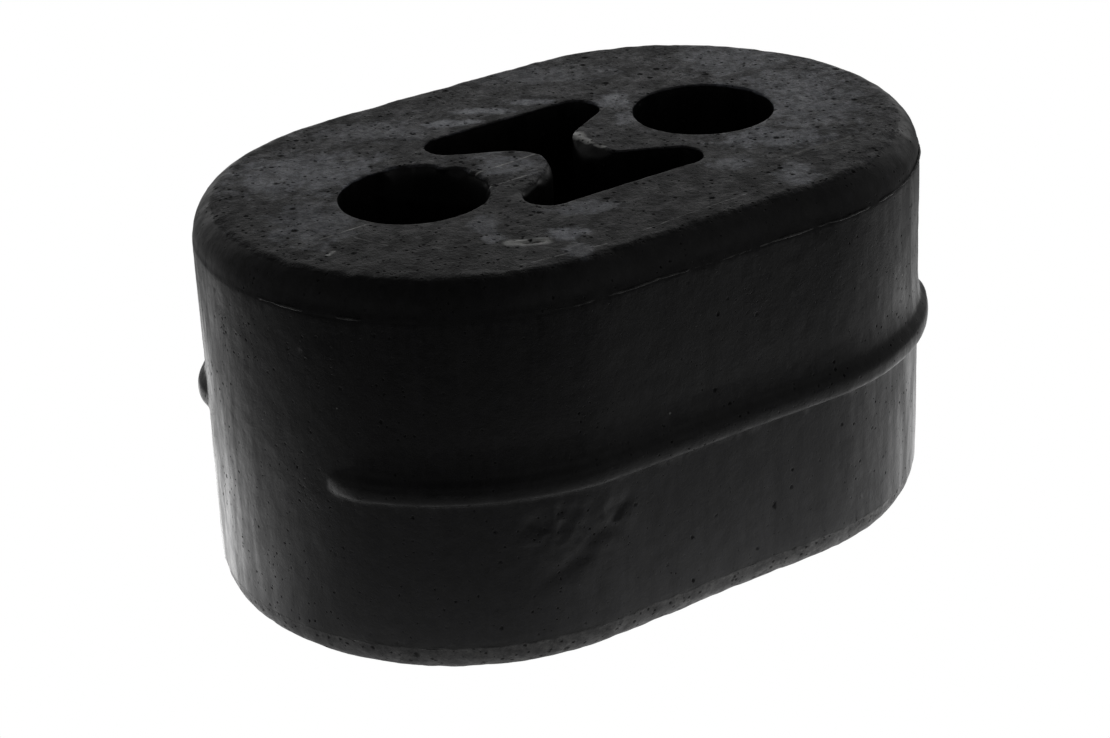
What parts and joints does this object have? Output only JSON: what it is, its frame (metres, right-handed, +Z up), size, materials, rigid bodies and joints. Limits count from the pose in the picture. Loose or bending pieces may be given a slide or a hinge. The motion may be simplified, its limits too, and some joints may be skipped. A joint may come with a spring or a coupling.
{
  "type": "exhaust hanger rubber",
  "caption": "Oblong moulded rubber block that hangs an exhaust pipe, with round rod bores either side of a bow-tie opening and a low bead along each flank.",
  "frame": {"origin": "centre of the lower end face, on which the block stands", "axes": "+X along the line of the two rod bores, +Y across the block towards the rear flank, +Z up along the bores"},
  "size_m": [0.063, 0.0434, 0.033],
  "materials": {
    "rubber": "used black moulded rubber, satin, with a grey bloom on the end faces"
  },
  "bodies": {
    "root": {"hanger_block": "rubber"}
  },
  "joints": []
}
